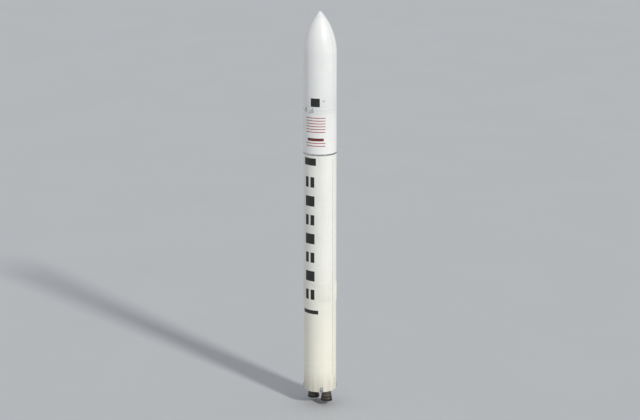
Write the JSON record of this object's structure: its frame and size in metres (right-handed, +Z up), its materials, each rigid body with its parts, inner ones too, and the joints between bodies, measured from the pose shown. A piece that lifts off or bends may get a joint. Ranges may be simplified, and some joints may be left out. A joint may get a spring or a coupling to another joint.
{
  "type": "space rocket, two-stage launch vehicle, 1:2 scale model",
  "caption": "Slender white two-stage launch vehicle with twin gimballed engine bells, a separating interstage around a solid upper motor, and a hinged two-half nose fairing.",
  "frame": {"origin": "on the rocket's axis, in the plane of the base heat shield's underside and the hold-down pads, where the launch mount takes it", "axes": "+Z up along the axis towards the nose, X through both engine bells, -Y towards the side with the roll-pattern marks"},
  "size_m": [1.84, 1.874, 21.2496],
  "materials": {
    "white_paint": "satin white paint with faint weathering",
    "white_composite": "satin white coated composite",
    "bare_metal": "machined, lightly anodised",
    "frame_metal": "primed structural metal",
    "heat_shield": "matte heat-resistant coating",
    "engine_metal": "heat-tinted steel",
    "nozzle_metal": "dark heat-stained steel",
    "dark_composite": "wound carbon fibre",
    "black_mark": "satin black paint",
    "red_mark": "satin red paint"
  },
  "bodies": {
    "first_stage": {"aft_bay": "white_paint", "base_heat_shield": "heat_shield", "thrust_frame": "frame_metal", "fuel_tank": "white_paint", "intertank": "white_paint", "oxidizer_tank": "white_paint", "forward_skirt": "white_paint", "stage_ring": "bare_metal", "raceway_left": "white_paint", "raceway_right": "white_paint", "hold_down_bracket_1": "bare_metal", "hold_down_bracket_2": "bare_metal", "hold_down_bracket_3": "bare_metal", "hold_down_bracket_4": "bare_metal", "aft_umbilical_plate": "bare_metal", "aft_bay_access_panel_left": "white_paint", "aft_bay_access_panel_right": "white_paint"},
    "engine_1_gimbal_body": {"engine_1_gimbal": "engine_metal"},
    "engine_1": {"engine_1_head": "engine_metal", "engine_1_nozzle": "nozzle_metal"},
    "engine_2_gimbal_body": {"engine_2_gimbal": "engine_metal"},
    "engine_2": {"engine_2_head": "engine_metal", "engine_2_nozzle": "nozzle_metal"},
    "interstage_section": {"interstage_ring": "bare_metal", "interstage": "white_composite", "interstage_access_panel": "white_composite", "upper_umbilical_plate": "bare_metal"},
    "upper_stage": {"motor_case": "dark_composite", "motor_adapter": "frame_metal", "fairing_adapter_ring": "white_composite", "payload_deck": "frame_metal", "payload_cone": "dark_composite", "payload_plate": "bare_metal", "fairing_hinge_base_front_a": "bare_metal", "fairing_hinge_base_front_b": "bare_metal", "fairing_hinge_base_back_a": "bare_metal", "fairing_hinge_base_back_b": "bare_metal"},
    "motor_nozzle_ring_body": {"motor_nozzle_ring": "bare_metal"},
    "motor_nozzle_body": {"motor_nozzle": "dark_composite"},
    "fairing_front_half": {"fairing_front": "white_composite", "fairing_hinge_arm_front_a": "bare_metal", "fairing_hinge_arm_front_b": "bare_metal"},
    "fairing_back_half": {"fairing_back": "white_composite", "fairing_hinge_arm_back_a": "bare_metal", "fairing_hinge_arm_back_b": "bare_metal"}
  },
  "joints": [
    {"name": "engine_1_pitch", "type": "hinge", "parent": "first_stage", "child": "engine_1_gimbal_body", "pos_m": [-0.45, 0, 0.94], "axis": [1, 0, 0], "range_deg": [-4.5, 4.5]},
    {"name": "engine_1_yaw", "type": "hinge", "parent": "engine_1_gimbal_body", "child": "engine_1", "pos_m": [-0.45, 0, 0.94], "axis": [0, 1, 0], "range_deg": [-4.5, 4.5]},
    {"name": "engine_2_pitch", "type": "hinge", "parent": "first_stage", "child": "engine_2_gimbal_body", "pos_m": [0.45, 0, 0.94], "axis": [1, 0, 0], "range_deg": [-4.5, 4.5]},
    {"name": "engine_2_yaw", "type": "hinge", "parent": "engine_2_gimbal_body", "child": "engine_2", "pos_m": [0.45, 0, 0.94], "axis": [0, 1, 0], "range_deg": [-4.5, 4.5]},
    {"name": "stage_separation", "type": "slide", "parent": "first_stage", "child": "interstage_section", "axis": [0, 0, 1], "range_m": [0, 1.5]},
    {"name": "motor_withdrawal", "type": "slide", "parent": "interstage_section", "child": "upper_stage", "axis": [0, 0, 1], "range_m": [0, 2.6]},
    {"name": "motor_nozzle_pitch", "type": "hinge", "parent": "upper_stage", "child": "motor_nozzle_ring_body", "pos_m": [0, 0, 13.744], "axis": [1, 0, 0], "range_deg": [-3, 3]},
    {"name": "motor_nozzle_yaw", "type": "hinge", "parent": "motor_nozzle_ring_body", "child": "motor_nozzle_body", "pos_m": [0, 0, 13.744], "axis": [0, 1, 0], "range_deg": [-3, 3]},
    {"name": "fairing_front_hinge", "type": "hinge", "parent": "upper_stage", "child": "fairing_front_half", "pos_m": [0, -0.915, 15.556], "axis": [1, 0, 0], "range_deg": [0, 60]},
    {"name": "fairing_back_hinge", "type": "hinge", "parent": "upper_stage", "child": "fairing_back_half", "pos_m": [0, 0.915, 15.556], "axis": [-1, 0, 0], "range_deg": [0, 60]}
  ]
}
